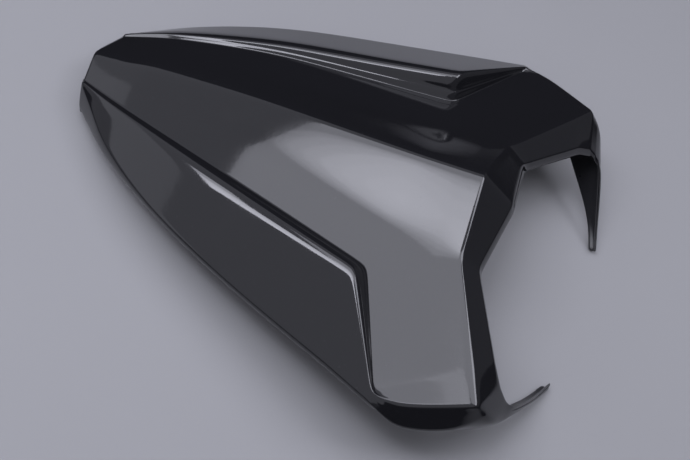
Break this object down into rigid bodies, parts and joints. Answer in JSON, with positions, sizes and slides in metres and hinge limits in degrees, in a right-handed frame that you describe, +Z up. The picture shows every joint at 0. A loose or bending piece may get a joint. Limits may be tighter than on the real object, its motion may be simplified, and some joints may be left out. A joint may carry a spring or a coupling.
{
  "type": "motorbike seat cowl",
  "caption": "Thin gloss shell that covers a pillion seat: ridged roof, raised side panels, arched front with inward claws and a pointed tail.",
  "frame": {"origin": "middle of the bounding box, on the table the cowl rests on", "axes": "+Y to the tail, -Y to the front arch, +X across, +Z up from the table"},
  "size_m": [0.288, 0.3572, 0.0868],
  "materials": {
    "gloss_black": "high gloss lacquer"
  },
  "bodies": {
    "root": {"cowl_shell": "gloss_black"}
  },
  "joints": []
}
